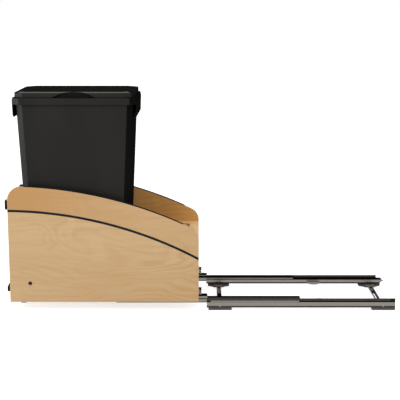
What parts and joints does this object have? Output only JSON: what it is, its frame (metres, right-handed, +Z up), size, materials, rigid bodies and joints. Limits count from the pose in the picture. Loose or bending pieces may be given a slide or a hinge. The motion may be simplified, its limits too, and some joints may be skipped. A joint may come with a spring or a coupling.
{
  "type": "pull-out waste bin",
  "caption": "Under-cabinet pull-out waste bin: a plywood box with a curved top carries a black lidded bin on full-extension undermount runners tied by cross braces.",
  "frame": {"origin": "middle of the front cross brace's underside, on the cabinet floor, on the centre line", "axes": "+X from the box back into the cabinet, the way the box closes; +Y to the left of a person in front of the cabinet; +Z up"},
  "size_m": [1.1615, 0.298, 0.6506],
  "materials": {
    "plywood": "clear-coated maple-faced plywood with soft cathedral grain along the length",
    "dark_trim": "blue-black edge band and inlaid stripe, semi-matt",
    "runner_steel": "zinc-plated folded sheet, satin",
    "brace_steel": "grey-purple coated pressed steel, satin",
    "fastener_steel": "plated steel heads",
    "grey_plastic": "grey moulded plastic",
    "cage_plastic": "dark moulded nylon",
    "rubber": "black rubber",
    "black_metal": "black powder coat, satin",
    "black_plastic": "black moulded plastic",
    "bin_plastic": "black moulded polypropylene, semi-gloss",
    "lid_plastic": "black moulded polypropylene, semi-gloss"
  },
  "bodies": {
    "cabinet_frame": {"cabinet_rail_right": "runner_steel", "cabinet_rail_left": "runner_steel", "front_brace": "brace_steel", "rear_brace": "brace_steel", "front_foot_pad_right": "grey_plastic", "front_foot_pad_left": "grey_plastic", "rear_foot_pad_right": "grey_plastic", "rear_foot_pad_left": "grey_plastic", "front_rivet_right": "fastener_steel", "front_rivet_left": "fastener_steel", "rear_rivet_right": "fastener_steel", "rear_rivet_left": "fastener_steel", "rear_stop_right": "rubber", "rear_stop_left": "rubber"},
    "box": {"drawer_rail_right": "runner_steel", "drawer_rail_left": "runner_steel", "rear_hook_right": "runner_steel", "rear_hook_left": "runner_steel", "hook_peg_right": "black_plastic", "hook_peg_left": "black_plastic", "clip_body_right": "grey_plastic", "clip_body_left": "grey_plastic", "side_panel_right": "plywood", "side_panel_left": "plywood", "top_band_right": "dark_trim", "top_band_left": "dark_trim", "accent_stripe_right": "dark_trim", "accent_stripe_left": "dark_trim", "base_board": "plywood", "front_board": "plywood", "rear_board": "plywood", "rear_shelf": "plywood", "divider_board": "plywood", "upper_bracket_right": "black_metal", "upper_bracket_left": "black_metal", "lower_bracket_right": "black_metal", "lower_bracket_left": "black_metal", "upper_bracket_screw_right": "fastener_steel", "upper_bracket_screw_left": "fastener_steel", "lower_bracket_bolt_right": "fastener_steel", "lower_bracket_bolt_left": "fastener_steel"},
    "middle_right": {"middle_rail_right": "runner_steel"},
    "middle_left": {"middle_rail_left": "runner_steel"},
    "outer_cage_right": {"outer_cage_right": "cage_plastic"},
    "outer_cage_left": {"outer_cage_left": "cage_plastic"},
    "inner_cage_right": {"inner_cage_right": "cage_plastic"},
    "inner_cage_left": {"inner_cage_left": "cage_plastic"},
    "clip_lever_right": {"clip_lever_right": "grey_plastic"},
    "clip_lever_left": {"clip_lever_left": "grey_plastic"},
    "bin": {"bin": "bin_plastic"},
    "lid": {"lid": "lid_plastic"}
  },
  "joints": [
    {"name": "box_slide", "type": "slide", "parent": "cabinet_frame", "child": "box", "axis": [1, 0, 0], "range_m": [0, 0.535]},
    {"name": "middle_right_slide", "type": "slide", "parent": "cabinet_frame", "child": "middle_right", "axis": [1, 0, 0], "range_m": [0, 0.2675]},
    {"name": "outer_cage_right_slide", "type": "slide", "parent": "cabinet_frame", "child": "outer_cage_right", "axis": [1, 0, 0], "range_m": [0, 0.13375]},
    {"name": "inner_cage_right_slide", "type": "slide", "parent": "cabinet_frame", "child": "inner_cage_right", "axis": [1, 0, 0], "range_m": [0, 0.40125]},
    {"name": "middle_left_slide", "type": "slide", "parent": "cabinet_frame", "child": "middle_left", "axis": [1, 0, 0], "range_m": [0, 0.2675]},
    {"name": "outer_cage_left_slide", "type": "slide", "parent": "cabinet_frame", "child": "outer_cage_left", "axis": [1, 0, 0], "range_m": [0, 0.13375]},
    {"name": "inner_cage_left_slide", "type": "slide", "parent": "cabinet_frame", "child": "inner_cage_left", "axis": [1, 0, 0], "range_m": [0, 0.40125]},
    {"name": "clip_lever_right_press", "type": "hinge", "parent": "box", "child": "clip_lever_right", "pos_m": [-0.603, -0.1205, 0.0317], "axis": [0, 0, 1], "range_deg": [0, 12], "stiffness_Nm_per_rad": 0.2},
    {"name": "clip_lever_left_press", "type": "hinge", "parent": "box", "child": "clip_lever_left", "pos_m": [-0.603, 0.1205, 0.0317], "axis": [0, 0, -1], "range_deg": [0, 12], "stiffness_Nm_per_rad": 0.2},
    {"name": "bin_lift", "type": "slide", "parent": "box", "child": "bin", "axis": [0, 0, 1], "range_m": [0, 0.34]},
    {"name": "lid_lift", "type": "slide", "parent": "bin", "child": "lid", "axis": [0, 0, 1], "range_m": [0, 0.06]}
  ],
  "couplings": [
    {"joint": "middle_right_slide", "follows": "box_slide", "ratio": 0.5},
    {"joint": "outer_cage_right_slide", "follows": "box_slide", "ratio": 0.25},
    {"joint": "inner_cage_right_slide", "follows": "box_slide", "ratio": 0.75},
    {"joint": "middle_left_slide", "follows": "box_slide", "ratio": 0.5},
    {"joint": "outer_cage_left_slide", "follows": "box_slide", "ratio": 0.25},
    {"joint": "inner_cage_left_slide", "follows": "box_slide", "ratio": 0.75}
  ]
}
